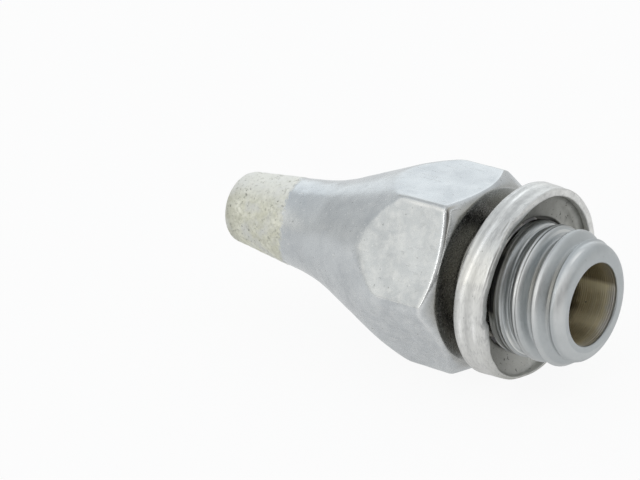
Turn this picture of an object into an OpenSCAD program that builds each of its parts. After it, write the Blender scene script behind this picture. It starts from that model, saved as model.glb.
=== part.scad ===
// Desoldering tip: a hexagonal nozzle with a threaded rear end and a suction bore,
// and a loose dished sealing ring around the neck of its thread.
// It lies on one flat of its hexagon, with the nose towards -X and the thread towards +X.

/* [Body] */
// Overall length, from the threaded end to the nose
tip_l = 26.3; // [24:0.1:32]
// Hexagon across its flats
hex_af = 11; // [10:0.1:12]
// Turned diameter that blunts the corners of the hexagon
hex_d = 12.4; // [12:0.1:12.6]
// Length of the hexagon, from its seat to the start of the cone
hex_l = 4.1; // [3.5:0.1:6]
// Diameter of the flat seat behind the hexagon
seat_d = 10.7; // [9.6:0.1:10.9]
// Angle of the chamfer between the seat and the corners
seat_chamfer = 40; // [20:1:50]

/* [Nose] */
// Diameter of the nose at its front end
nose_d = 4.5; // [3.5:0.1:5]
// Taper of the nose to each side
nose_taper = 6.5; // [3:0.5:9]
// Slope of the cone between the hexagon and the nose
cone_slope = 22; // [18:0.2:26]
// Radius of the hollow curve between the cone and the nose
flare_r = 13.5; // [6:0.5:18]
// Rounding of the front edge
nose_edge_r = 0.4; // [0.1:0.05:0.6]

/* [Thread] */
// Length of the threaded shank, from the rear end to the seat
shank_l = 7.2; // [6:0.1:9]
// Outer diameter of the thread
thread_d = 8; // [7.4:0.1:8.4]
// Distance from one crest to the next
thread_pitch = 1.25; // [0.9:0.05:1.5]
// Depth of the thread groove
thread_depth = 0.6; // [0.3:0.05:0.7]
// Width of the groove at its bottom
root_w = 0.26; // [0.1:0.02:0.3]
// Angle of each side of the groove
flank_angle = 30; // [20:1:32]
// Direction in which the groove leaves the rear end, counted from the top
thread_start = 39; // [0:1:359]
// Length of the tapered start of the thread
lead_l = 1.4; // [0.8:0.1:2]
// How much the start of the thread narrows to each side
lead_drop = 0.45; // [0.1:0.05:0.5]
// Rounding of the rear edge
rear_edge_r = 0.7; // [0.2:0.05:0.8]
// Length over which the groove gets shallower towards the neck
runout_l = 2.4; // [0.5:0.1:3]
// Depth that the groove still has where it reaches the neck
runout_depth = 0.12; // [0.1:0.01:0.6]
// Length of the neck where the thread runs out, in front of the seat
neck_l = 2.6; // [1.8:0.1:2.8]
// Diameter of the neck
neck_d = 6.8; // [5.8:0.1:6.9]

/* [Suction hole] */
// Diameter of the wide bore at the rear
bore_d = 4.9; // [4:0.1:5.2]
// Length of the straight part of the wide bore
bore_l = 18; // [10:0.5:18.5]
// Angle of the cone at the bottom of the wide bore
bore_point = 59; // [30:1:75]
// Diameter of the hole in the nose
nozzle_d = 1.8; // [0.8:0.1:2.4]

/* [Sealing ring] */
// Outer diameter of the ring
ring_d = 11.6; // [11:0.1:12]
// Width of the ring along the shank
ring_w = 1.8; // [1.2:0.1:2.4]
// Thickness of the ring's rim
ring_wall = 0.5; // [0.3:0.05:0.6]
// Thickness of the ring's web
ring_web = 0.95; // [0.4:0.05:1.2]
// Rounding of the ring's front edge
ring_edge_r = 0.35; // [0.1:0.05:0.5]
// How far the top of the ring leans back
ring_lean = 4; // [0:0.5:6]
// Play between the hole of the ring and the crests of the thread, to each side
ring_play = 0.05; // [0.05:0.05:0.4]
// Least room that stays between the ring and the thread where they come closest
ring_clearance = 0.05; // [0.03:0.01:0.1]

/* [Hidden] */
$fn = 96;

// Segments of a full turn of the thread, and of a rounded edge
turn_steps = 36;
arc_steps = 10;
// How far cutting shapes reach past the faces that they cut
overcut = 0.1;

// Half of the angle that one side of the hexagon takes
half_side = 30;
hex_r = hex_d / 2;
nose_r = nose_d / 2;
thread_r = thread_d / 2;

// Thread groove, which runs out in the neck
root_r = thread_r - thread_depth;
groove_top_r = thread_r + overcut;
groove_top_w = root_w + 2 * (thread_depth + overcut) * tan(flank_angle);
neck_r = neck_d / 2;
neck_z = shank_l - neck_l;
thread_first = -groove_top_w / 2 - overcut;
thread_last = shank_l - neck_l / 2;
runout_rise = (thread_depth - runout_depth) / runout_l;

// Stations along the axis, counted from the rear end
cone_z = shank_l + hex_l;
chamfer_l = (hex_r - seat_d / 2) * tan(seat_chamfer);

// Corner where the lines of the cone and the nose would meet
flare_z = (hex_r + cone_z * tan(cone_slope) - nose_r - tip_l * tan(nose_taper))
        / (tan(cone_slope) - tan(nose_taper));
flare_corner_r = hex_r - (flare_z - cone_z) * tan(cone_slope);
flare_reach = flare_r * tan((cone_slope - nose_taper) / 2);
flare_start = [flare_corner_r + flare_reach * sin(cone_slope), flare_z - flare_reach * cos(cone_slope)];
flare_centre = flare_start + flare_r * [cos(cone_slope), sin(cone_slope)];

// The leaning ring stands on the round of its lip, with its hole around the neck.
// A small ring hangs on the thread instead, and a large one lifts the neck.
ring_r = ring_d / 2;
lip_r = ring_wall / 2;
ring_hole_r = thread_r + ring_play;
ring_stand = (ring_r - lip_r) * cos(ring_lean) + (ring_w / 2 - lip_r) * sin(ring_lean) + lip_r;
web_rise = (ring_w - ring_web) / 2 * sin(ring_lean);
hole_reach = ring_hole_r * cos(ring_lean) - ring_web / 2 * sin(ring_lean) - ring_clearance;
axis_z = max(hex_af / 2, ring_stand + web_rise + neck_r - hole_reach);
ring_z = max(ring_stand, axis_z - web_rise + thread_r - hole_reach);

// The web leans against the end of the thread, at the height where its hole gets inside the crests
hole_lift = ring_z + web_rise - axis_z;
crest_r = thread_r + ring_clearance;
catch_h = hole_lift > 0 ? (pow(crest_r, 2) - pow(ring_hole_r, 2) - pow(hole_lift, 2)) / (2 * hole_lift)
                        : -ring_hole_r;
catch_drop = max(-ring_hole_r, min(ring_hole_r, catch_h)) * sin(ring_lean);
ring_pos = neck_z + ring_clearance - (ring_w / 2 - ring_web) * cos(ring_lean) + catch_drop;

// Points of an arc, from one direction to the other
function arc(centre, r, from, to) =
    [for (i = [0 : arc_steps]) centre + r * [cos(from + (to - from) * i / arc_steps),
                                             sin(from + (to - from) * i / arc_steps)]];

// Half outline of the body: radius, then distance from the rear end
function body_outline() = concat(
    [[0, 0]],
    arc([thread_r - lead_drop - rear_edge_r, rear_edge_r], rear_edge_r, -90, 0),
    [[thread_r, lead_l],
     [thread_r, neck_z],
     [neck_r, neck_z],
     [neck_r, shank_l],
     [seat_d / 2, shank_l],
     [hex_r, shank_l + chamfer_l],
     [hex_r, cone_z]],
    arc(flare_centre, flare_r, 180 + cone_slope, 180 + nose_taper),
    arc([nose_r - nose_edge_r, tip_l - nose_edge_r], nose_edge_r, nose_taper, 90),
    [[0, tip_l]]);

// Half outline of the ring: radius, then distance from its rear lip
function ring_outline() = concat(
    arc([ring_r - lip_r, lip_r], lip_r, -180, 0),
    arc([ring_r - ring_edge_r, ring_w - ring_edge_r], ring_edge_r, 0, 90),
    [[ring_hole_r, ring_w],
     [ring_hole_r, ring_w - ring_web],
     [ring_r - ring_wall, ring_w - ring_web]]);

// Section of the groove: distance from the axis, then along it
function groove_section() = [[root_r, -root_w / 2], [root_r, root_w / 2],
                             [groove_top_r, groove_top_w / 2], [groove_top_r, -groove_top_w / 2]];

// Corner p of that section at step i along the helix, which rises out of the shank towards the neck
function groove_point(i, p) =
    let (z = thread_first + i * thread_pitch / turn_steps)
    let (turn = thread_start + 360 * z / thread_pitch)
    let (r = p[0] + runout_rise * max(0, z - neck_z + runout_l))
    [r * cos(turn), r * sin(turn), z + p[1]];

// Solid swept along the helix, which cuts the thread
module thread_groove() {
    section = groove_section();
    n = len(section);
    steps = ceil((thread_last - thread_first) / thread_pitch * turn_steps);
    polyhedron(
        points = [for (i = [0 : steps]) for (p = section) groove_point(i, p)],
        faces = concat(
            [[for (c = [0 : n - 1]) c]],
            [for (i = [0 : steps - 1]) for (c = [0 : n - 1])
                [i * n + c, i * n + n + c, i * n + (c + 1) % n]],
            [for (i = [0 : steps - 1]) for (c = [0 : n - 1])
                [i * n + (c + 1) % n, i * n + n + c, i * n + n + (c + 1) % n]],
            [[for (c = [n - 1 : -1 : 0]) steps * n + c]]));
}

// Lays down a shape that was drawn upright from the rear end, with its axis at that height
module lay_down(height) {
    translate([tip_l / 2, 0, height]) rotate([0, -90, 0]) children();
}

module suction_hole() {
    point_l = (bore_d - nozzle_d) / 2 / tan(bore_point);
    translate([0, 0, -overcut]) cylinder(d = bore_d, h = bore_l + overcut);
    translate([0, 0, bore_l]) cylinder(d1 = bore_d, d2 = nozzle_d, h = point_l);
    translate([0, 0, bore_l]) cylinder(d = nozzle_d, h = tip_l);
}

module tip_body() {
    color("silver") lay_down(axis_z) difference() {
        intersection() {
            rotate_extrude() polygon(body_outline());
            rotate(half_side) cylinder(d = hex_af / cos(half_side), h = tip_l, $fn = 6);
        }
        thread_groove();
        suction_hole();
    }
}

module seal_ring() {
    color("gainsboro") lay_down(ring_z)
        translate([0, 0, ring_pos]) rotate([0, ring_lean, 0]) translate([0, 0, -ring_w / 2])
            rotate_extrude() polygon(ring_outline());
}

tip_body();
seal_ring();
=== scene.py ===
import math
from functools import reduce

import bpy
import numpy as np
from mathutils import Matrix, Vector


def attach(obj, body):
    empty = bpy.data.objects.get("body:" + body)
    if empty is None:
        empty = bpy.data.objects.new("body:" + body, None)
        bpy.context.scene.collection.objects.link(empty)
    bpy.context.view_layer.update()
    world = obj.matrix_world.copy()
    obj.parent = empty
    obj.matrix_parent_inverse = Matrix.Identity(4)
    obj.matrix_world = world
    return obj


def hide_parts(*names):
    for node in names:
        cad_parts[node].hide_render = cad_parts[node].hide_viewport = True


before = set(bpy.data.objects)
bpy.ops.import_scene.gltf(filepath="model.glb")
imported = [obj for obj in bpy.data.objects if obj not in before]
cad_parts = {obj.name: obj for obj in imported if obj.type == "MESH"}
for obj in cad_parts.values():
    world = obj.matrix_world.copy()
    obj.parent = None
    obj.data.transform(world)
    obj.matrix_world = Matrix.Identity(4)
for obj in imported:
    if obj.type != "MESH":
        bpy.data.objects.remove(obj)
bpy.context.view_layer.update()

# Lengths are written in millimetres and angles in degrees. Blender gets metres.
MM = 0.001

# A place on the tip has s, its distance from the rear end, r, its distance from the axis, and phi, its
# direction from the axis. phi is 0 at the top and negative on the camera's side.
# The sizes are those of the solids.
TIP_L = 26.3
AXIS_Z = 5.5

# Hexagon, and the seat and the chamfer behind it
HEX_FLAT_R = 5.5
HEX_R = 6.2
SEAT_R = 5.35
CHAMFER = 40.0
SHANK_L = 7.2

# Cone, hollow curve and nose
CONE_S = 11.3
CONE_SLOPE = 22.0
FLARE_R = 13.5
NOSE_R = 2.25
NOSE_TAPER = 6.5
NOSE_EDGE = 0.4

# Thread and neck
THREAD_R = 4.0
PITCH = 1.25
ROOT_R = 3.4
ROOT_W = 0.26
FLANK = 30.0
THREAD_START = 39.0
RUN_OUT_L = 2.4
RUN_OUT_RISE = 0.2
LEAD_L = 1.4
LEAD_DROP = 0.45
REAR_EDGE = 0.7
NECK_S = 4.6
NECK_R = 3.4

# Suction hole
BORE_R = 2.45
BORE_L = 18.0
BORE_POINT = 59.0
NOZZLE_R = 0.9

# Sealing ring, and the place of its middle
RING_R = 5.8
RING_W = 1.8
RING_WALL = 0.5
RING_WEB = 0.95
RING_EDGE = 0.35
RING_HOLE = 4.05
RING_LEAN = 4.0
RING_S = 4.687
RING_Z = 5.8322

# What the scene adds to the tip: rounded edges on the thread, the mouths of the holes and the crease, a
# sharper corner and a burr on the near side, the tin, and lines where the thread was rubbed
CREST_ROUND = 0.24
ROOT_ROUND = 0.12
LEAD_ROUND = 0.04
BORE_ROUND = 0.09
NOZZLE_ROUND = 0.12
CREASE_ROUND = 0.2
NEAR_CORNER = -30
SHARPER_BY = 0.11
BURR_AT = 0.22
BURR_HEIGHT = 0.075
TIN_EDGE_S = 21.97
TIN_THICKNESS = 0.028
RUB_LINES = 5
RUB_DEPTH = 0.027

# What it adds to the ring: ridges and dents on the band, an uneven lip with a tongue, a thicker near wall,
# a bulge and a bend
RIDGE_A = 0.28
RIDGE_SPACING = 0.86
RIDGE_HEIGHT = 0.040
DENT_DEPTH = 0.024
LIP_UNEVEN = 0.05
TONGUE_L = 0.19
NEAR_WALL = 0.18
BULGE = 0.15
BEND = 0.21

# Material slots of the tip
PLATED, BARE = 0, 1


def rad(degrees):
    return degrees * math.pi / 180


def step(lo, hi, x):
    """0 at lo and 1 at hi, with a smooth change between them."""
    t = np.clip((x - lo) / (hi - lo), 0, 1)
    return t * t * (3 - 2 * t)


def bell(x, width):
    """1 where x is 0, and next to nothing at twice the width."""
    return np.exp(-(x / width) ** 2)


def from_middle(deg, middle):
    """Angle from a middle direction, between -180 and 180."""
    return (deg - middle + 180) % 360 - 180


def largest(*maps):
    return reduce(np.maximum, maps)


def smooth_min(a, b, k):
    """Least of two surfaces, with the edge between them rounded over k."""
    h = np.clip(k - np.abs(a - b), 0, None) / k
    return np.minimum(a, b) - h * h * k / 4


def smooth_max(a, b, k):
    return -smooth_min(-a, -b, k)


def ripple(seed, angle, along, turns, waves, count=24):
    """Smooth noise of about unit size over an angle, which it closes round, and a length.

    It has at most that many waves in a turn and in a millimetre.
    """
    rng = np.random.default_rng(seed)
    total = 0
    for _ in range(count):
        m = rng.integers(0, turns + 1)
        q = rng.uniform(-waves, waves) * 2 * math.pi
        total = total + np.cos(m * angle + q * along + rng.uniform(0, 2 * math.pi))
    return total * math.sqrt(2 / count)


def grid_mesh(name, points, attributes, slots):
    """Closed mesh from rows of points, joined round both ways, with values for its materials."""
    rows, cols = points.shape[:2]
    i, j = np.meshgrid(np.arange(rows), np.arange(cols), indexing="ij")
    i2, j2 = (i + 1) % rows, (j + 1) % cols
    quads = np.stack([i * cols + j, i * cols + j2, i2 * cols + j2, i2 * cols + j], -1).reshape(-1, 4)
    mesh = bpy.data.meshes.new(name)
    mesh.from_pydata((points.reshape(-1, 3) * MM).tolist(), [], quads.tolist())
    for key, values in attributes.items():
        layer = mesh.attributes.new(key, "FLOAT", "POINT")
        layer.data.foreach_set("value", np.broadcast_to(values, (rows, cols)).astype(np.float32).ravel())
    mesh.polygons.foreach_set("use_smooth", np.ones(len(quads), bool))
    mesh.polygons.foreach_set("material_index", np.repeat(np.asarray(slots, np.int32), cols))
    mesh.validate()
    mesh.update()
    piece = bpy.data.objects.new(name, mesh)
    bpy.context.scene.collection.objects.link(piece)
    return piece


# Tip

TAN_CONE = math.tan(rad(CONE_SLOPE))
TAN_NOSE = math.tan(rad(NOSE_TAPER))


def corner_columns():
    """Directions round the axis, in radians, close together where the flats meet the blunt corners.

    They are counted down, so that the faces between them look outwards.
    """
    by_corner = [0, 0.7, 1.4, 1.9, 2.25, 2.51, 2.8, 3.2, 3.8, 4.6]
    half = np.concatenate([by_corner, np.linspace(5.8, 30, 13)])
    side = np.concatenate([half, 60 - half[-2:0:-1]])
    return rad(np.concatenate([30 + 60 * n + side for n in range(6)]))[::-1]


def flare_circle():
    """Where the hollow curve leaves the cone, and the middle of its circle."""
    meet_s = (HEX_R + CONE_S * TAN_CONE - NOSE_R - TIP_L * TAN_NOSE) / (TAN_CONE - TAN_NOSE)
    meet_r = on_cone(meet_s)
    reach = FLARE_R * math.tan(rad((CONE_SLOPE - NOSE_TAPER) / 2))
    cos, sin = math.cos(rad(CONE_SLOPE)), math.sin(rad(CONE_SLOPE))
    start_s, start_r = meet_s - reach * cos, meet_r + reach * sin
    return start_s, start_s + FLARE_R * sin, start_r + FLARE_R * cos


def on_cone(s):
    return HEX_R - (s - CONE_S) * TAN_CONE


def groove_start(phi):
    """Where a turn of the thread's groove passes that direction."""
    return (np.degrees(phi) - THREAD_START) / 360 * PITCH


def groove_offset(s, phi):
    """Distance along the axis from the middle of the nearest turn of the groove."""
    return (s - groove_start(phi) + PITCH / 2) % PITCH - PITCH / 2


def thread_radius(s, phi):
    """Distance from the axis to the thread, with worn round crests and a groove that runs out."""
    off = groove_offset(s, phi)
    d = np.abs(off)
    root = ROOT_R + RUN_OUT_RISE * np.clip(s - off - NECK_S + RUN_OUT_L, 0, None)
    flank = root + (d - ROOT_W / 2) / math.tan(rad(FLANK))
    crest = THREAD_R - 0.5 * np.clip(d - 0.40, 0, None) ** 2
    r = smooth_max(smooth_min(flank, crest, CREST_ROUND), root, ROOT_ROUND)
    # Fine ridges run with the thread, where it was rubbed next to the ring.
    rub = step(2.3, 3.0, s) * step(NECK_S + 0.05, NECK_S - 0.1, s)
    ridge = 0.5 - 0.5 * np.cos(2 * math.pi * RUB_LINES * (s - groove_start(phi)) / PITCH)
    return np.minimum(r, THREAD_R) - RUB_DEPTH * rub * ridge


class Tip:
    """Surface of the tip, in rows from the nose over the outside to the rear end and through the bore."""

    def __init__(self):
        self.flare_start, self.flare_s, self.flare_r = flare_circle()
        self.phi = corner_columns()
        self.deg = from_middle(np.degrees(self.phi), 0)
        self.side = (np.degrees(self.phi) + 30) % 60 - 30
        flat = HEX_FLAT_R / np.cos(rad(self.side))
        # The upper corner on the near side is the least blunt one.
        sharp = self.facing(NEAR_CORNER, 12)
        self.hexagon = smooth_min(flat, HEX_R + SHARPER_BY * sharp, 0.02 + 0.05 * (1 - sharp))
        # The flats end at the crease in front, where the cone starts, and at the chamfer behind, which
        # was turned a little out of true with them.
        self.crease = CONE_S + (HEX_R - np.minimum(flat, HEX_R)) / TAN_CONE
        out_of_true = np.tanh(2.6 * (np.cos(self.phi + rad(60)) - 0.35))
        self.chamfer_slope = math.tan(rad(CHAMFER)) * (1.1 - 0.33 * out_of_true)
        self.chamfer = SHANK_L + (self.hexagon - SEAT_R) * self.chamfer_slope
        # Share of the marks' full width that a narrow chamfer has room for.
        self.room = np.minimum(1, (self.chamfer - SHANK_L) / 0.5)

        self.s_rows, self.r_rows, self.zones = [], [], []
        self.add_nose()
        self.add_hexagon()
        self.add_neck()
        self.add_thread()
        self.add_hole()
        self.s, self.r = np.array(self.s_rows), np.array(self.r_rows)
        self.angle = np.broadcast_to(self.phi, self.s.shape)
        self.groove_d = np.abs(groove_offset(self.s, self.angle))
        self.flats = self.within("hex") * (self.s > self.chamfer - 0.05) * (self.s < self.crease + 0.05)

    def facing(self, middle, width):
        """1 in a direction round the axis, fading to both sides."""
        return bell(from_middle(np.degrees(self.phi), middle), width)

    def within(self, *zones):
        """The rows of those zones, as a column."""
        return np.isin(self.zones, zones)[:, None]

    def on_chamfer(self, s):
        return SEAT_R + (s - SHANK_L) / self.chamfer_slope

    def add(self, s, r, zone):
        self.s_rows.append(np.broadcast_to(s, self.phi.shape))
        self.r_rows.append(np.broadcast_to(r, self.phi.shape))
        self.zones.append(zone)

    def add_nose(self):
        """Front end, its round edge, the taper and the hollow curve."""
        for r in np.linspace(NOZZLE_R + NOZZLE_ROUND, NOSE_R - NOSE_EDGE - 0.08, 6):
            self.add(TIP_L, r, "nose")
        for a in rad(np.linspace(90, NOSE_TAPER, 12)):
            nose_s = TIP_L - NOSE_EDGE + NOSE_EDGE * math.sin(a)
            nose_r = NOSE_R - NOSE_EDGE + NOSE_EDGE * math.cos(a)
            self.add(nose_s, nose_r, "nose")
        end_s = self.flare_s - FLARE_R * math.sin(rad(NOSE_TAPER))
        end_r = self.flare_r - FLARE_R * math.cos(rad(NOSE_TAPER))
        for t in np.linspace(0, 1, 52)[1:]:
            self.add(nose_s + (end_s - nose_s) * t, nose_r + (end_r - nose_r) * t, "nose")
        for a in rad(np.linspace(NOSE_TAPER, CONE_SLOPE, 24)[1:]):
            self.add(self.flare_s - FLARE_R * math.sin(a), self.flare_r - FLARE_R * math.cos(a), "nose")

    def add_hexagon(self):
        """Cone, flats and chamfer, with rows close together along the edges between them."""
        by_crease = np.array([0.5, 0.36, 0.25, 0.16, 0.09, 0.04])
        for t in np.linspace(0, 1, 16)[1:-1]:
            s = self.flare_start + (self.crease + by_crease[0] - self.flare_start) * t
            self.add(s, on_cone(s), "hex")

        by_chamfer = np.array([0.28, 0.15, 0.085, 0.04, 0.014])
        first, last = self.crease - by_crease[0], self.chamfer + by_chamfer[0]
        rows = [self.crease + off for off in np.concatenate([by_crease, [0], -by_crease[::-1]])]
        rows += [first + (last - first) * t for t in np.linspace(0, 1, 9)[1:-1]]
        for s in rows:
            self.add(s, smooth_min(on_cone(s), self.hexagon, CREASE_ROUND), "hex")

        # The near edges are worn rounder, and a low burr runs beside them on the chamfer.
        rounding = 0.05 + 0.34 * self.facing(-52, 27)
        for off in np.concatenate([by_chamfer, [0], -by_chamfer[:0:-1]]):
            s = self.chamfer + (off if off > 0 else off * self.room)
            self.add(s, smooth_min(self.on_chamfer(s), self.hexagon, rounding), "hex")
        for off in (-0.06, -0.03, 0, 0.03, 0.06):
            s = self.chamfer - (BURR_AT + off) * self.room
            burr = BURR_HEIGHT * self.facing(-38, 11) * bell(off, 0.03)
            self.add(s, smooth_min(self.on_chamfer(s), self.hexagon, rounding) + burr, "hex")
        last = s
        for t in np.linspace(0, 1, 4)[1:]:
            s = last + (SHANK_L - last) * t
            self.add(s, np.minimum(self.on_chamfer(s), self.hexagon), "hex")

    def add_neck(self):
        """Seat behind the hexagon, the neck and the end of the thread."""
        for r in (5.2, 4.8, 4.4, 4.0, 3.7, NECK_R + 0.08):
            self.add(SHANK_L, r, "neck")
        self.add(SHANK_L - 0.03, NECK_R + 0.02, "neck")
        for s in (SHANK_L - 0.12, 6.5, 5.8, 5.2, NECK_S + 0.2):
            self.add(s, NECK_R, "neck")
        self.add(NECK_S + 0.03, NECK_R + 0.02, "neck")
        inner, outer = NECK_R + 0.05, thread_radius(NECK_S, self.phi)
        for t in (0.1, 0.5, 0.9):
            self.add(NECK_S, inner + (outer - inner) * t, "neck")

    def add_thread(self):
        """Thread with its tapered start, and the round rear edge."""
        for s in np.linspace(NECK_S - 0.01, REAR_EDGE, 134):
            taper = THREAD_R - LEAD_DROP + (s - REAR_EDGE) * LEAD_DROP / (LEAD_L - REAR_EDGE)
            lead = smooth_min(taper, THREAD_R, LEAD_ROUND)
            self.add(s, smooth_min(thread_radius(s, self.phi), lead, LEAD_ROUND), "thread")
        for a in rad(np.linspace(0, -90, 15)[1:]):
            s = REAR_EDGE + REAR_EDGE * math.sin(a)
            edge = THREAD_R - LEAD_DROP - REAR_EDGE + REAR_EDGE * math.cos(a)
            self.add(s, smooth_min(thread_radius(s, self.phi), edge, LEAD_ROUND), "thread")

    def add_hole(self):
        """Rear face, the mouth of the bore, the bore and the nozzle hole."""
        for r in (2.8, 2.7, 2.6, BORE_R + BORE_ROUND):
            self.add(0, r, "end")
        for s, widening in ((0.012, 0.045), (0.04, 0.015), (BORE_ROUND, 0)):
            self.add(s, BORE_R + widening, "end")
        for s in (0.16, 0.3, 0.5, 0.8, 1.2, 1.7, 2.4, 3.2, 4.2, 5.5, 7, 9, 11, 13, 15, 17, BORE_L):
            self.add(s, BORE_R, "bore")
        point_l = (BORE_R - NOZZLE_R) / math.tan(rad(BORE_POINT))
        for t in (0.25, 0.5, 0.75):
            self.add(BORE_L + point_l * t, BORE_R + (NOZZLE_R - BORE_R) * t, "bore")
        for s in np.linspace(BORE_L + point_l, TIP_L - NOZZLE_ROUND, 7):
            self.add(s, NOZZLE_R, "bore")
        for back, widening in ((0.04, 0.03), (0.01, 0.07)):
            self.add(TIP_L - back, NOZZLE_R + widening, "bore")

    def coat(self):
        """Lays the lumpy tin on the nose, and returns the distance from its wandering edge."""
        s, angle = self.s, self.angle
        outside = self.within("nose", "hex")
        edge = TIN_EDGE_S - np.cos(angle + rad(72)) + 0.10 * ripple(3, angle, 0, 9, 0)
        tin = np.where(outside, s - edge, -9.0)
        lumps = ripple(5, angle, s, 16, 1.6) * 0.6 + ripple(6, angle, s, 34, 3.0) * 0.4
        layer = step(-0.05, 0.12, tin) * (TIN_THICKNESS + 0.011 * lumps) + 0.014 * bell(tin - 0.12, 0.12)
        layer = layer * step(0.0, 0.35, TIP_L - s)
        # The plating isn't quite even either.
        wave = np.minimum(0.004 * ripple(9, angle, s, 12, 0.8), 0.002) - 0.003
        self.r = self.r + np.where(outside, layer + wave * (s > SHANK_L), 0)
        return tin

    def wear_and_highlight(self):
        """Where edges are worn, and where highlights are painted on edges and crests, most on the near side.
        """
        s, deg, facing = self.s, self.deg, self.facing
        # The corners have little wear; the near one has a painted highlight that comes in dabs.
        corners = 0.14 * bell(30 - np.abs(self.side), 2.8)
        dabs = np.clip(0.7 + 0.5 * ripple(19, 0, s, 0, 2.6, 16), 0.15, 1.2)
        fade = 0.12 + 0.88 * np.exp(-np.clip(s - self.chamfer, 0, None) / 1.6)
        corners = corners + dabs * facing(NEAR_CORNER - 2, 0.6) * fade
        # Painted highlights: a line along the near edges of the flats, a line on the burr, the crests,
        # brightest where they face the lamps, and the rear edge.
        rim = (0.15 + 0.85 * facing(-60, 32)) * bell(s - self.chamfer - 0.04, 0.14)
        burr = 0.95 * facing(-39, 11) * bell(self.chamfer - s - BURR_AT * self.room, 0.055)
        crests = (0.20 + 0.65 * facing(-56, 28)) * step(0.33, 0.52, self.groove_d)
        rear_edge = 1.2 * facing(-18, 14) * bell(s - 0.42, 0.08)
        # Painted light on the end of the thread, which shows below the near lip of the ring.
        end = 0.8 * step(4.0, 4.2, s) * step(-92, -100, deg) * step(-142, -128, deg)
        on_hexagon = largest(corners * self.flats, largest(rim, burr) * self.within("hex"))
        return largest(on_hexagon, largest(crests, rear_edge, end) * self.within("thread"))

    def painted_shade(self):
        """Painted shade, and painted dark reflections in thin lines by the near edges. Above 1 it gets
        black.
        """
        s, r, deg, facing = self.s, self.r, self.deg, self.facing
        # On the chamfer the painted shade deepens towards the seat, and painted dark reflections lie in thin
        # lines by the near edges.
        beside = self.chamfer - s
        depth = beside / (self.chamfer - SHANK_L + 0.05)
        inwards = 0.62 * step(0.30, 1.0, depth)
        inwards = inwards + 0.4 * facing(-84, 16) * step(0.1, 0.4, depth)
        inwards = inwards + 0.5 * facing(-20, 15) * step(0.15, 0.45, depth)
        line = (1.3 * facing(-32, 7) + 0.7 * facing(-45, 10)) * bell(beside - 0.115 * self.room, 0.068)
        # A painted dark line along the near corner.
        fold = 0.45 * facing(-29.6, 0.9) * self.flats
        on_hexagon = largest(inwards, line, fold) * self.within("hex")
        # Between the hexagon and the ring painted shade covers the seat and the neck, with less of it at the
        # top.
        black = largest(facing(65, 45), facing(180, 30)) * step(5.4, 5.15, r)
        black = largest(black, facing(0, 45) * step(3.95, 3.75, r))
        seat = 0.4 + 0.6 * step(5.25, 4.7, r) - 0.35 * facing(10, 30) * step(4.5, 5.0, r)
        on_neck = largest(seat, 1.2 * black) * self.within("neck")
        # On the thread it is painted shade next to the ring, and in the groove on the near side.
        by_near_lip = step(3.95, 4.2, s) * step(-12, -44, deg) * step(-98, -88, deg)
        by_top = step(-9, -15, deg) * step(-40, -30, deg) + step(2, 8, deg) * step(70, 55, deg)
        by_ring = 1.2 * largest(by_near_lip, step(4.3, 4.45, s) * by_top)
        groove = 0.98 * facing(-48, 34) * step(0.20, 0.09, self.groove_d) * step(2.9, 2.6, s)
        on_thread = largest(by_ring, groove) * self.within("thread")
        return largest(on_hexagon, on_neck, on_thread)

    def build(self):
        attributes = {"tin": self.coat(), "wear_and_highlight": self.wear_and_highlight(), "painted_shade": self.painted_shade()}
        x = TIP_L / 2 - np.minimum(self.s, TIP_L - 0.002)
        points = np.stack([x, self.r * np.sin(self.angle), AXIS_Z + self.r * np.cos(self.angle)], -1)
        slots = [BARE if zone == "bore" else PLATED for zone in self.zones]
        return grid_mesh("tip_shell", points, attributes, slots)


# Ring

RING_LIP = RING_WALL / 2
DISH_A = RING_W - RING_WEB


def ring_section():
    """Rows round the section of the ring: radius, distance from the rear lip, and zone."""
    rows = []
    # The lip is squarer than a half circle, which it would be at a power of 1.
    power = 0.6
    for t in rad(np.linspace(-180, 0, 17)):
        cos, sin = math.cos(t), math.sin(t)
        r = RING_R - RING_LIP + RING_LIP * math.copysign(abs(cos) ** power, cos)
        rows.append((r, RING_LIP - RING_LIP * abs(sin) ** power, "lip"))
    for a in np.linspace(RING_LIP, RING_W - RING_EDGE, 24)[1:]:
        rows.append((RING_R, a, "band"))
    for t in rad(np.linspace(0, 90, 10)[1:]):
        r = RING_R - RING_EDGE + RING_EDGE * math.cos(t)
        rows.append((r, RING_W - RING_EDGE + RING_EDGE * math.sin(t), "band"))
    for r in np.linspace(RING_R - RING_EDGE, RING_HOLE + 0.06, 8)[1:]:
        rows.append((r, RING_W, "web"))
    rows.append((RING_HOLE + 0.02, RING_W - 0.02, "web"))
    for a in np.linspace(RING_W - 0.06, DISH_A + 0.08, 5):
        rows.append((RING_HOLE, a, "web"))
    rows.append((RING_HOLE + 0.02, DISH_A + 0.02, "web"))
    # Floor of the dish, the hollow round its foot, and the wall.
    foot = 0.42
    foot_r, foot_a = RING_R - RING_WALL - foot, DISH_A - foot
    for r in np.linspace(RING_HOLE + 0.08, foot_r, 12):
        rows.append((r, DISH_A, "web"))
    for t in rad(np.linspace(90, 0, 8)[1:]):
        rows.append((foot_r + foot * math.cos(t), foot_a + foot * math.sin(t), "web"))
    for a in np.linspace(foot_a, RING_LIP, 6)[1:-1]:
        rows.append((RING_R - RING_WALL, a, "lip"))
    return rows


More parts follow.
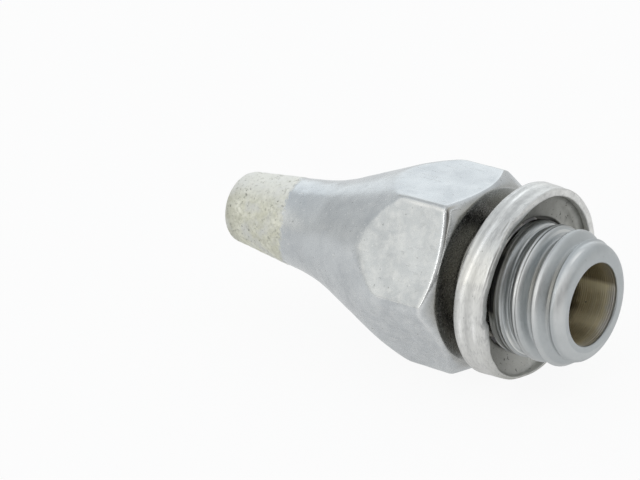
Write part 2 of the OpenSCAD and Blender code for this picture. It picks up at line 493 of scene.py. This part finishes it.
class Ring:
    """Surface of the ring, a dished washer of soft metal that was knocked about a little.

    A place on it has r, its distance from the ring's axis, a, its distance from the rear lip, and t, its
    direction, which is counted like phi. plain_r and plain_a are those of the plain round ring.
    """

    def __init__(self):
        r_rows, a_rows, zones = zip(*ring_section())
        theta = rad(np.linspace(-180, 180, 360, endpoint=False))
        self.t = np.broadcast_to(theta, (len(zones), len(theta)))
        self.deg = np.degrees(self.t)
        self.plain_r, self.plain_a = np.array(r_rows)[:, None], np.array(a_rows)[:, None]
        self.r, self.a = self.plain_r + 0 * self.t, self.plain_a + 0 * self.t
        self.rim = np.isin(zones, ["lip", "band"])[:, None]
        self.lip = np.isin(zones, ["lip"])[:, None]
        self.web = np.isin(zones, ["web"])[:, None]
        self.dished = self.plain_a < DISH_A + 0.01
        self.inside = self.dished * (self.plain_r < RING_R - RING_LIP)
        self.wall = step(4.8, 5.2, self.plain_r) * self.dished
        self.near = bell(self.deg + 75, 52)
        self.bottom = bell(from_middle(self.deg, -170), 40)
        # Two low ridges run round the band at a slight slant, stronger in some places than in others.
        self.slant = 0.03 * ripple(13, self.t, 0, 5, 0, 10) - 0.24 * np.sin(self.t + rad(64))
        wave = np.cos(2 * math.pi * (self.a - RIDGE_A - self.slant) / RIDGE_SPACING)
        self.valley = np.clip(0.55 + 0.45 * ripple(16, self.t, self.a, 5, 0.15, 12), 0.1, 1) * (1 - wave) / 2

        self.dent()
        self.wear_lip()
        self.form_wall()
        self.form_hole()
        # The band bulges low on the near side.
        self.r = self.r + BULGE * self.rim * self.a / RING_W * bell(self.deg + 138, 22)

    def dent(self):
        """Presses dents and the valleys between the ridges into the rim."""
        dents = ripple(11, self.t, self.a, 11, 0.35) * 0.6 + ripple(12, self.t, self.a, 26, 0.7) * 0.4
        press = DENT_DEPTH * (1 - np.clip(dents * 0.5 + 0.5, 0, 1)) + RIDGE_HEIGHT * self.valley
        self.r = self.r - self.rim * press

    def wear_lip(self):
        """The lip isn't cut quite even, and a tongue sticks out from it low on the near side."""
        uneven = LIP_UNEVEN * np.clip(ripple(14, self.t, 0, 9, 0, 14), 0, 2)
        tongue = TONGUE_L * step(-90, -95, self.deg) * step(-140, -118, self.deg)
        self.a = self.a + self.lip * (uneven - tongue - 0.06 * self.near) * step(DISH_A, 0.05, self.a)

    def form_wall(self):
        """The wall is thicker on the near side, and thin and rolled over at the bottom."""
        self.r = self.r + 0.7 * self.bottom * self.wall * np.minimum(RING_R - self.plain_r, RING_WALL)
        inner = np.clip((RING_R - RING_LIP - self.plain_r) / RING_LIP, 0, 1)
        self.r = self.r - NEAR_WALL * self.near * self.wall * inner
        bowl = np.clip((self.plain_r - 4.4) / 0.9, 0, 1) ** 1.5 * self.inside
        height = np.clip((self.plain_a - RING_LIP) / (DISH_A - RING_LIP), 0, 1)
        self.a = self.a - 0.32 * self.bottom * bowl * height
        floor = self.web * (self.plain_a < DISH_A + 0.03)
        self.a = self.a + floor * 0.02 * ripple(15, self.t, self.r, 9, 0.5)

    def form_hole(self):
        """The edge of the hole isn't quite round."""
        edge = self.web * step(RING_HOLE + 0.5, RING_HOLE, self.r)
        deep = np.clip((self.a - DISH_A) / RING_WEB, 0, 1)
        self.r = self.r - edge * (0.20 + 0.30 * deep) * bell(self.t - rad(24) - rad(20) * deep, rad(27))

    def stripe(self, middle, width):
        """A line round the band that runs with the ridges."""
        return bell(self.a - middle - self.slant, width)

    def ridge_light(self):
        """Painted highlights along the ridges, and below 0 painted shade lines between them and along the
        front edge.
        """
        # They are painted on the near side and over the top.
        lit_zone = step(-130, -95, self.deg) * step(30, -15, self.deg)
        broken = np.clip(0.55 + 0.55 * ripple(18, self.t, 1.5 * self.a, 14, 0.5, 18), 0, 1.1)
        bright = 1.4 * self.stripe(1.14, 0.08) + 0.9 * self.stripe(0.26, 0.08)
        bright = bright + 0.6 * self.stripe(1.59, 0.04)
        dull = 0.35 * self.stripe(0.72, 0.14) + 0.45 * self.stripe(1.40, 0.09)
        return (lit_zone * (broken * bright - dull) - 0.7 * step(1.64, 1.72, self.a)) * self.rim

    def dull_and_shade(self):
        """Darker and rougher at the top, the underside and the valleys; on the underside and in the valleys
        the dark is painted shade.
        """
        low = step(-95, -150, self.deg) + step(95, 150, self.deg)
        return (0.45 * bell(self.t, rad(38)) + 0.5 * low + 0.5 * self.valley) * self.rim

    def ring_shade(self):
        """Painted shade in the hole, and in the dish low on the near side and at the top."""
        dish = 0.6 * bell(self.deg + 134, 34) + 0.75 * bell(self.deg - 4, 44)
        in_hole = (self.plain_r < RING_HOLE + 0.03) & (self.plain_a < RING_W - 0.01)
        return np.where(in_hole, 0.9, np.where(self.dished, dish, 0)) * self.web

    def build(self):
        lit_floor = bell(np.abs(self.t) - math.pi, rad(26)) * self.web
        lit_wall = 0.9 * self.bottom * self.wall * self.inside
        attributes = {
            "web": largest(self.web * 1.0, self.lip * self.bottom),
            "grain": step(RING_W - 0.45, RING_W - 0.1, self.a) * self.rim,
            "dull_and_shade": self.dull_and_shade(),
            "lit": largest(lit_floor, lit_wall),
            "ridge_light": self.ridge_light(),
            "ring_shade": self.ring_shade(),
        }
        cos, sin = math.cos(rad(RING_LEAN)), math.sin(rad(RING_LEAN))
        up, forward = self.r * np.cos(self.t), self.a - RING_W / 2
        s = RING_S - up * sin + forward * cos
        z = RING_Z + up * cos + forward * sin
        # The near side is bent a little towards the hexagon.
        s = s + BEND * self.a / RING_W * bell(from_middle(self.deg, -97), 58)
        points = np.stack([TIP_L / 2 - s, self.r * np.sin(self.t), np.maximum(z, 0.002)], -1)
        return grid_mesh("ring_shell", points, attributes, np.zeros(len(points)))


# Materials

class Nodes:
    """Short names for the shader nodes of a material or of the world."""

    def __init__(self, owner):
        owner.use_nodes = True
        self.owner = owner
        self.tree = owner.node_tree

    def new(self, kind, **settings):
        node = self.tree.nodes.new(kind)
        for key, value in settings.items():
            setattr(node, key, value)
        return node

    def put(self, socket, value):
        """Links a socket to another one, or sets its value."""
        if isinstance(value, bpy.types.NodeSocket):
            self.tree.links.new(value, socket)
        else:
            socket.default_value = value

    def fill(self, node, *values):
        """Puts values into the first inputs of a node, and returns its first output."""
        for socket, value in zip(node.inputs, values):
            self.put(socket, value)
        return node.outputs[0]

    def surface(self, name, value):
        """Puts a value into the material's own shader."""
        self.put(self.tree.nodes["Principled BSDF"].inputs[name], value)

    def math(self, operation, *values):
        return self.fill(self.new("ShaderNodeMath", operation=operation), *values)

    def plus(self, a, b):
        return self.math("ADD", a, b)

    def minus(self, a, b):
        return self.math("SUBTRACT", a, b)

    def times(self, a, b):
        return self.math("MULTIPLY", a, b)

    def place(self):
        """Position on the piece, in millimetres."""
        coords = self.new("ShaderNodeTexCoord").outputs["Object"]
        return self.stretch(coords, (1 / MM, 1 / MM, 1 / MM))

    def stretch(self, vector, scale, rotation=(0, 0, 0)):
        node = self.new("ShaderNodeMapping")
        self.put(node.inputs["Vector"], vector)
        self.put(node.inputs["Rotation"], rotation)
        self.put(node.inputs["Scale"], scale)
        return node.outputs[0]

    def split(self, vector):
        node = self.new("ShaderNodeSeparateXYZ")
        self.put(node.inputs[0], vector)
        return node.outputs

    def join(self, x, y, z):
        return self.fill(self.new("ShaderNodeCombineXYZ"), x, y, z)

    def noise(self, vector, scale, detail, rough):
        node = self.new("ShaderNodeTexNoise")
        self.put(node.inputs["Vector"], vector)
        self.put(node.inputs["Scale"], scale)
        self.put(node.inputs["Detail"], detail)
        self.put(node.inputs["Roughness"], rough)
        return node.outputs["Fac"]

    def spread(self, value, lo, hi, to_lo=0.0, to_hi=1.0):
        """to_lo where the value is lo and to_hi where it is hi, and nothing past those."""
        return self.fill(self.new("ShaderNodeMapRange", clamp=True), value, lo, hi, to_lo, to_hi)

    def mix(self, factor, a, b):
        """Colour a, with that share of colour b."""
        node = self.new("ShaderNodeMix", data_type="RGBA")
        for socket, value in ((0, factor), (6, a), (7, b)):
            self.put(node.inputs[socket], value)
        return node.outputs[2]

    def blend(self, factor, a, b):
        """Number a, with that share of number b."""
        node = self.new("ShaderNodeMix", data_type="FLOAT")
        for socket, value in ((0, factor), (2, a), (3, b)):
            self.put(node.inputs[socket], value)
        return node.outputs[0]

    def value(self, name):
        """What grid_mesh stored under that name."""
        return self.new("ShaderNodeAttribute", attribute_name=name).outputs["Fac"]

    def bump(self, height, depth, normal=None):
        """Relief of that depth in millimetres, on top of another one if there is one."""
        node = self.new("ShaderNodeBump")
        self.put(node.inputs["Strength"], 1.0)
        self.put(node.inputs["Distance"], depth * MM)
        self.put(node.inputs["Height"], height)
        if normal is not None:
            self.put(node.inputs["Normal"], normal)
        return node.outputs[0]

    def mix_shader(self, factor, a, b):
        return self.fill(self.new("ShaderNodeMixShader"), factor, a, b)


# Colours of the plating, the tin, the bare brass, the ring's band and its dish
PLATE = {
    "deep": (0.465, 0.488, 0.504, 1),
    "clear": (0.585, 0.61, 0.622, 1),
    "pale": (0.67, 0.685, 0.685, 1),
    "scratch": (0.74, 0.74, 0.73, 1),
    "stain": (0.33, 0.345, 0.35, 1),
    "speck": (0.20, 0.205, 0.20, 1),
    "fleck": (0.82, 0.82, 0.80, 1),
    "thread": (0.45, 0.475, 0.48, 1),
    "dark line": (0.17, 0.165, 0.15, 1),
    "pale line": (0.80, 0.80, 0.775, 1),
    "wear_and_highlight": (0.93, 0.93, 0.915, 1),
    "painted_shade": (0.33, 0.32, 0.29, 1),
    "black": (0.07, 0.07, 0.072, 1),
}
TIN = {
    "yellow": (0.62, 0.62, 0.505, 1),
    "pale": (0.92, 0.915, 0.815, 1),
    "olive": (0.55, 0.55, 0.45, 1),
    "front": (0.48, 0.48, 0.40, 1),
    "grey": (0.70, 0.705, 0.675, 1),
    "top": (0.86, 0.86, 0.82, 1),
    "blot": (0.34, 0.34, 0.275, 1),
    "pit": (0.13, 0.13, 0.10, 1),
}
BRASS = {
    "deep": (0.66, 0.56, 0.335, 1),
    "clear": (0.96, 0.865, 0.60, 1),
    "mark": (0.93, 0.86, 0.66, 1),
    "speck": (0.045, 0.04, 0.03, 1),
    "lit_zone": (0.97, 0.88, 0.62, 1),
    "inside": (0.05, 0.042, 0.025, 1),
    "plating": (0.66, 0.65, 0.64, 1),
    "upper shade": (0.21, 0.165, 0.085, 1),
    "underside": (0.36, 0.30, 0.18, 1),
}
BAND = {
    "grey": (0.68, 0.68, 0.66, 1),
    "pale": (0.82, 0.82, 0.795, 1),
    "patch": (0.58, 0.585, 0.575, 1),
    "dull_and_shade": (0.45, 0.455, 0.455, 1),
    "speck": (0.22, 0.22, 0.20, 1),
    "dark fleck": (0.43, 0.43, 0.42, 1),
    "bright fleck": (0.95, 0.95, 0.93, 1),
    "ridge highlight": (0.97, 0.97, 0.95, 1),
    "ridge shade": (0.40, 0.40, 0.39, 1),
    "grit": (0.36, 0.365, 0.36, 1),
}
DISH = {
    "grey": (0.46, 0.46, 0.43, 1),
    "clear": (0.62, 0.62, 0.585, 1),
    "lit": (0.84, 0.84, 0.80, 1),
    "ring_shade": (0.12, 0.12, 0.11, 1),
    "speck": (0.10, 0.10, 0.09, 1),
}


def plated_metal():
    """Satin plating with a tinned nose, edges bright with wear and painted highlights, painted shade and
    glints, and a thread with fine lines from rubbing.
    """
    n = Nodes(bpy.data.materials.new("plated_metal"))
    at = n.place()
    x, y, z = n.split(at)
    along = n.minus(TIP_L / 2, x)
    turn = n.math("ARCTAN2", y, n.minus(z, AXIS_Z))
    off_top = n.math("ABSOLUTE", turn)

    # Clouds, pale spots, scratches, stains and specks, and flecks that are painted glints.
    cloud = n.noise(at, scale=0.55, detail=5, rough=0.6)
    mottle = n.noise(at, scale=2.6, detail=4, rough=0.6)
    grain = n.noise(at, scale=7.5, detail=2, rough=0.6)
    plate = n.mix(n.spread(cloud, 0.32, 0.68), PLATE["deep"], PLATE["clear"])
    sides = n.times(n.spread(off_top, 0.35, 0.6, 0.4, 1.0), n.spread(along, 12.0, 15.0, 1.0, 0.45))
    spots = n.spread(n.noise(at, scale=1.7, detail=5, rough=0.65), 0.42, 0.66, 0, 0.60)
    plate = n.mix(n.times(spots, sides), plate, PLATE["pale"])
    askew = n.stretch(at, (0.45, 9.0, 9.0), rotation=(0.5, 0.35, 0.6))
    scratch = n.spread(n.noise(askew, scale=1.0, detail=1, rough=0.5), 0.70, 0.75)
    plate = n.mix(n.times(scratch, 0.45), plate, PLATE["scratch"])
    stain = n.spread(n.noise(at, scale=2.2, detail=4, rough=0.7), 0.54, 0.70, 0, 0.34)
    plate = n.mix(n.times(stain, sides), plate, PLATE["stain"])
    specks = n.spread(n.noise(at, scale=4.0, detail=2, rough=0.5), 0.70, 0.75, 0, 0.55)
    plate = n.mix(specks, plate, PLATE["speck"])
    # Flecks: painted glints.
    flecks = n.spread(n.noise(at, scale=3.3, detail=3, rough=0.7), 0.67, 0.74, 0, 0.6)
    plate = n.mix(flecks, plate, PLATE["fleck"])

    # The thread is duller, and next to the ring it is rubbed into fine lines that run with it.
    helix = n.minus(along, n.times(turn, PITCH / (2 * math.pi)))
    threads = n.noise(n.join(helix, n.times(turn, 0.10), 0.0), scale=7.0, detail=2, rough=0.65)
    on_thread = n.spread(along, 5.0, 4.5)
    by_ring = n.times(n.spread(along, 2.2, 3.0), on_thread)
    plate = n.mix(n.times(on_thread, n.spread(mottle, 0.3, 0.7, 0.85, 0.6)), plate, PLATE["thread"])
    plate = n.mix(n.times(n.spread(threads, 0.52, 0.36, 0, 0.5), by_ring), plate, PLATE["dark line"])
    plate = n.mix(n.times(n.spread(threads, 0.54, 0.66, 0, 0.8), by_ring), plate, PLATE["pale line"])

    # Worn edges with painted highlights on them.
    wear_and_highlight = n.value("wear_and_highlight")
    bright = n.times(wear_and_highlight, n.spread(cloud, 0.3, 0.7, 0.75, 1.0))
    plate = n.mix(bright, plate, PLATE["wear_and_highlight"])
    # Painted shade, black where it is deepest.
    painted_shade = n.value("painted_shade")
    plate = n.mix(n.times(painted_shade, n.spread(mottle, 0.3, 0.7, 0.97, 0.80)), plate, PLATE["painted_shade"])
    plate = n.mix(n.spread(painted_shade, 1.0, 1.2), plate, PLATE["black"])

    # The tin is pale, dull and pitted, with an uneven edge.
    ragged = n.spread(n.noise(at, scale=2.6, detail=3, rough=0.6), 0.25, 0.75, -0.24, 0.24)
    tinned = n.spread(n.plus(n.value("tin"), ragged), -0.11, 0.16)
    patch = n.noise(at, scale=1.3, detail=4, rough=0.62)
    tin = n.mix(n.spread(patch, 0.30, 0.70), TIN["yellow"], TIN["pale"])
    olive = n.spread(n.noise(at, scale=4.5, detail=3, rough=0.6), 0.45, 0.68, 0, 0.75)
    tin = n.mix(olive, tin, TIN["olive"])
    tin = n.mix(n.spread(along, 24.9, 26.1, 0, 0.8), tin, TIN["front"])
    grey = n.spread(n.noise(at, scale=0.75, detail=3, rough=0.6), 0.46, 0.64, 0, 0.8)
    tin = n.mix(grey, tin, TIN["grey"])
    # Painted light pales the tin on the top and the far side, but not low on the near side.
    tin = n.mix(n.spread(turn, -0.95, -0.45, 0, 0.7), tin, TIN["top"])
    blots = n.spread(n.noise(at, scale=2.7, detail=4, rough=0.7), 0.57, 0.70, 0, 0.7)
    tin = n.mix(blots, tin, TIN["blot"])
    pits = n.spread(n.noise(at, scale=4.6, detail=3, rough=0.6), 0.64, 0.72)
    tin = n.mix(n.times(pits, 0.7), tin, TIN["pit"])

    n.surface("Base Color", n.mix(tinned, plate, tin))
    n.surface("Metallic", n.blend(tinned, n.spread(bright, 0.3, 1.0, 1.0, 0.5), 0.45))
    rough = n.plus(n.spread(mottle, 0.3, 0.7, 0.21, 0.31), n.spread(grain, 0.3, 0.7, -0.03, 0.03))
    rough = n.math("MULTIPLY_ADD", on_thread, 0.15, rough)
    n.surface("Roughness", n.blend(tinned, rough, n.spread(patch, 0.3, 0.7, 0.50, 0.66)))

    # The relief is weak on the top, under wear, painted highlights and painted shade, and lumpy on the tin.
    lines = n.noise(n.join(along, 0.0, 0.0), scale=16, detail=2, rough=0.7)
    soft = n.times(n.plus(n.times(grain, 0.65), mottle), n.spread(off_top, 0.3, 0.7, 0.4, 1.3))
    soft = n.times(soft, n.spread(n.plus(painted_shade, wear_and_highlight), 0.0, 1.0, 1.0, 0.12))
    marks = n.minus(n.times(lines, 0.20), n.times(scratch, 0.8))
    relief = n.bump(n.plus(soft, marks), 0.008)
    relief = n.bump(n.times(threads, by_ring), 0.005, relief)
    lumps = n.noise(at, scale=3.6, detail=5, rough=0.62)
    n.surface("Normal", n.bump(n.minus(n.times(lumps, tinned), n.times(pits, tinned)), 0.045, relief))
    return n.owner


def bare_brass():
    """Bore that the plating hasn't reached, with turning marks round it."""
    n = Nodes(bpy.data.materials.new("bare_brass"))
    at = n.place()
    x, y, z = n.split(at)
    marks_apart = 0.14
    uneven = n.noise(n.join(x, n.times(y, 0.05), n.times(z, 0.05)), scale=2.2, detail=3, rough=0.6)
    phase = n.math("MULTIPLY_ADD", uneven, 5.0, n.times(x, 2 * math.pi / marks_apart))
    rings = n.math("MULTIPLY_ADD", n.math("SINE", phase), 0.15, uneven)
    cloud = n.noise(at, scale=0.8, detail=3, rough=0.6)
    depth = n.minus(TIP_L / 2, n.math("MULTIPLY_ADD", cloud, 0.8, n.minus(x, 0.4)))
    level = n.math("MULTIPLY_ADD", cloud, 0.3, z)

    brass = n.mix(n.spread(cloud, 0.3, 0.7), BRASS["deep"], BRASS["clear"])
    brass = n.mix(n.spread(rings, 0.42, 0.66, 0.0, 0.5), brass, BRASS["mark"])
    specks = n.spread(n.noise(at, scale=3.4, detail=2, rough=0.5), 0.70, 0.76, 0, 0.8)
    brass = n.mix(specks, brass, BRASS["speck"])
    # Painted highlights brighten it half way up, low down and round the mouth.
    half_way = n.times(n.spread(level, 4.85, 5.4), n.spread(level, 5.85, 5.65))
    low = n.times(n.spread(level, 4.05, 3.8), n.spread(level, 3.40, 3.60, 0, 0.8))
    lit_zone = n.math("MAXIMUM", n.math("MAXIMUM", half_way, low), n.spread(depth, 1.05, 0.6, 0, 0.8))
    brass = n.mix(n.times(lit_zone, 0.8), brass, BRASS["lit_zone"])
    # Painted shade darkens it further in, and some plating reaches round the mouth.
    brass = n.mix(n.spread(depth, 2.45, 3.1, 0, 0.92), brass, BRASS["inside"])
    brass = n.mix(n.spread(depth, 0.85, 0.35, 0, 0.85), brass, BRASS["plating"])
    # Painted shade darkens the upper half, and the very bottom is darker.
    brass = n.mix(n.spread(level, 5.65, 5.95, 0, 0.75), brass, BRASS["upper shade"])
    brass = n.mix(n.spread(level, 3.55, 3.25, 0, 0.6), brass, BRASS["underside"])

    n.surface("Base Color", brass)
    n.surface("Metallic", n.spread(lit_zone, 0, 1, 0.70, 0.30))
    n.surface("Roughness", n.spread(rings, 0.3, 0.7, 0.52, 0.38))
    n.surface("Normal", n.bump(rings, 0.06))
    return n.owner


def ring_metal():
    """Pale soft metal with painted highlights and shade lines along the ridges of the band, dull in the
    dish, with painted light and shade there.
    """
    n = Nodes(bpy.data.materials.new("ring_metal"))
    at = n.place()
    x, y, z = n.split(at)
    axis = n.plus(n.times(x, math.cos(rad(RING_LEAN))), n.times(z, -math.sin(rad(RING_LEAN))))
    round_it = n.join(n.times(axis, 3.6), n.times(y, 0.55), n.times(z, 0.55))
    drawn = n.noise(round_it, scale=1.0, detail=4, rough=0.6)
    fine = n.noise(round_it, scale=3.4, detail=3, rough=0.6)
    patch = n.noise(at, scale=1.5, detail=4, rough=0.6)
    grit = n.noise(at, scale=9, detail=3, rough=0.65)

    # The band has patches, specks and flecks. It is darker at the top, has painted shade on the underside
    # and in the valleys, and has painted highlights and shade lines along its ridges.
    band = n.mix(n.spread(drawn, 0.32, 0.68), BAND["grey"], BAND["pale"])
    band = n.mix(n.spread(patch, 0.50, 0.78, 0, 0.45), band, BAND["patch"])
    # Darker at the top, with painted shade on the underside and in the valleys.
    dull_and_shade = n.value("dull_and_shade")
    band = n.mix(n.times(dull_and_shade, n.spread(patch, 0.35, 0.65, 0.45, 0.95)), band, BAND["dull_and_shade"])
    specks = n.spread(n.noise(at, scale=5.5, detail=2, rough=0.5), 0.70, 0.75, 0, 0.6)
    band = n.mix(specks, band, BAND["speck"])
    flecks = n.noise(round_it, scale=5.2, detail=2, rough=0.6)
    some = n.spread(patch, 0.38, 0.60, 0.15, 1.0)
    band = n.mix(n.times(n.spread(flecks, 0.50, 0.36, 0, 0.5), some), band, BAND["dark fleck"])
    band = n.mix(n.times(n.spread(flecks, 0.56, 0.70, 0, 0.6), some), band, BAND["bright fleck"])
    # Painted highlights and shade lines along the ridges.
    ridge_light = n.value("ridge_light")
    bright = n.times(n.spread(ridge_light, 0, 1), n.spread(patch, 0.3, 0.6, 0.95, 0.6))
    band = n.mix(bright, band, BAND["ridge highlight"])
    band = n.mix(n.spread(ridge_light, 0, -1, 0, 0.85), band, BAND["ridge shade"])
    grainy = n.value("grain")
    band = n.mix(n.times(grainy, n.spread(grit, 0.42, 0.62, 0, 0.55)), band, BAND["grit"])

    lit = n.value("lit")
    dish = n.mix(n.spread(patch, 0.3, 0.7), DISH["grey"], DISH["clear"])
    dish = n.mix(lit, dish, DISH["lit"])
    # Painted shade in the hole and the dish.
    dish = n.mix(n.value("ring_shade"), dish, DISH["ring_shade"])
    specks = n.spread(n.noise(at, scale=4.2, detail=2, rough=0.55), 0.65, 0.71, 0, 0.8)
    dish = n.mix(specks, dish, DISH["speck"])

    web = n.value("web")
    n.surface("Base Color", n.mix(web, band, dish))
    n.surface("Metallic", n.blend(web, 1.0, n.spread(lit, 0, 1, 0.85, 0.4)))
    rough = n.plus(n.spread(drawn, 0.3, 0.7, 0.31, 0.41), n.times(n.math("MAXIMUM", grainy, dull_and_shade), 0.12))
    rough = n.minus(rough, n.spread(ridge_light, 0, 1, 0, 0.12))
    n.surface("Roughness", n.blend(web, rough, 0.52))
    relief = n.bump(n.plus(n.times(fine, 0.12), n.times(patch, 1.3)), 0.026)
    sandy = n.plus(n.math("MULTIPLY_ADD", grainy, 0.6, 0.3), n.times(web, 0.3))
    n.surface("Normal", n.bump(n.times(grit, sandy), 0.03, relief))
    return n.owner


# Stage

# Half the width of the floor, in metres
FLOOR_HALF = 1.5

# Colours of the room near the floor, overhead and on its dark side, and where that side is
ROOM_LOW = (0.72, 0.72, 0.71, 1)
ROOM_HIGH = (0.80, 0.83, 0.86, 1)
ROOM_DARK = (0.18, 0.18, 0.178, 1)
DARK_SIDE = (0.84, -0.50, 0.20)

# Name, place and size in metres, power in watts, and colour
SOFT_BOXES = (
    ("back", (-0.24, 0.27, 0.18), (0.36, 0.30), 0.174, (0.90, 0.96, 1.0)),
    ("front", (-0.23, -0.27, 0.16), (0.30, 0.26), 0.088, (1.0, 0.935, 0.81)),
    ("overhead", (0.18, -0.17, 0.40), (0.30, 0.30), 0.085, (1.0, 1.0, 1.0)),
    ("side", (0.31, 0.05, 0.19), (0.20, 0.20), 0.06, (1.0, 1.0, 1.0)),
    ("strip", (0.01, -0.32, 0.165), (0.06, 0.20), 0.10, (1.0, 0.99, 0.97)),
)
LAMP_AIM = Vector((0, 0, 0.005))

# The photograph's camera: focal length and width in pixels, place in millimetres, and directions
FOCAL_PX = 2500
PHOTO_W = 640
SENSOR_W = 36.0
CAMERA_AT = Vector((85.725, -105.24, 68.94))
CAMERA_RIGHT = Vector((0.7674, 0.6379, -0.0647))
CAMERA_UP = Vector((-0.2217, 0.3587, 0.9068))


def build_floor():
    """Pale floor that the camera sees nearly white."""
    w = FLOOR_HALF
    mesh = bpy.data.meshes.new("floor")
    mesh.from_pydata([(-w, -w, 0), (w, -w, 0), (w, w, 0), (-w, w, 0)], [], [(0, 1, 2, 3)])
    floor = bpy.data.objects.new("floor", mesh)
    bpy.context.scene.collection.objects.link(floor)
    n = Nodes(bpy.data.materials.new("pale_floor"))
    n.surface("Base Color", (0.80, 0.80, 0.80, 1))
    n.surface("Roughness", 0.9)
    n.surface("Specular IOR Level", 0.1)
    path = n.new("ShaderNodeLightPath")
    seen = n.times(path.outputs["Is Camera Ray"], 0.92)
    white = n.math("MULTIPLY_ADD", path.outputs["Is Glossy Ray"], 0.60, seen)
    paper = n.new("ShaderNodeEmission").outputs[0]
    shader = n.tree.nodes["Principled BSDF"].outputs[0]
    n.put(n.tree.nodes["Material Output"].inputs["Surface"], n.mix_shader(white, shader, paper))
    mesh.materials.append(n.owner)


def build_world():
    """Soft room light, darker behind the camera and to its right, with a white background."""
    world = bpy.data.worlds.new("studio")
    bpy.context.scene.world = world
    n = Nodes(world)
    n.tree.nodes.clear()
    direction = n.new("ShaderNodeTexCoord").outputs["Generated"]
    room = n.mix(n.spread(n.split(direction)[2], 0, 0.8), ROOM_LOW, ROOM_HIGH)
    toward = n.new("ShaderNodeVectorMath", operation="DOT_PRODUCT")
    n.fill(toward, direction, DARK_SIDE)
    room = n.mix(n.spread(toward.outputs["Value"], 0.45, 0.95), room, ROOM_DARK)
    light = n.fill(n.new("ShaderNodeBackground"), room)
    paper = n.fill(n.new("ShaderNodeBackground"), (1, 1, 1, 1))
    seen = n.new("ShaderNodeLightPath").outputs["Is Camera Ray"]
    n.put(n.new("ShaderNodeOutputWorld").inputs["Surface"], n.mix_shader(seen, light, paper))


def soft_box(name, place, size, watts, colour):
    light = bpy.data.lights.new(name, "AREA")
    light.shape = "RECTANGLE"
    light.size, light.size_y = size
    light.energy = watts
    light.color = colour
    lamp = bpy.data.objects.new(name, light)
    bpy.context.scene.collection.objects.link(lamp)
    lamp.location = place
    lamp.rotation_euler = (LAMP_AIM - Vector(place)).to_track_quat("-Z", "Y").to_euler()


def build_camera():
    """Camera at the photograph's angle."""
    lens = bpy.data.cameras.new("camera")
    lens.sensor_width = SENSOR_W
    lens.lens = FOCAL_PX * SENSOR_W / PHOTO_W
    lens.clip_start, lens.clip_end = 0.005, 20
    camera = bpy.data.objects.new("camera", lens)
    bpy.context.scene.collection.objects.link(camera)
    back = CAMERA_RIGHT.cross(CAMERA_UP).normalized()
    up = back.cross(CAMERA_RIGHT).normalized()
    turn = Matrix((CAMERA_RIGHT.normalized(), up, back)).transposed()
    camera.matrix_world = Matrix.Translation(CAMERA_AT * MM) @ turn.to_4x4()
    bpy.context.scene.camera = camera


tip = Tip().build()
tip.data.materials.append(plated_metal())
tip.data.materials.append(bare_brass())
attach(tip, "root")
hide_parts("tip_body")

ring = Ring().build()
ring.data.materials.append(ring_metal())
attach(ring, "root")
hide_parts("seal_ring")

build_floor()
build_world()
for box in SOFT_BOXES:
    soft_box(*box)
build_camera()
bpy.context.scene.view_settings.view_transform = "Standard"
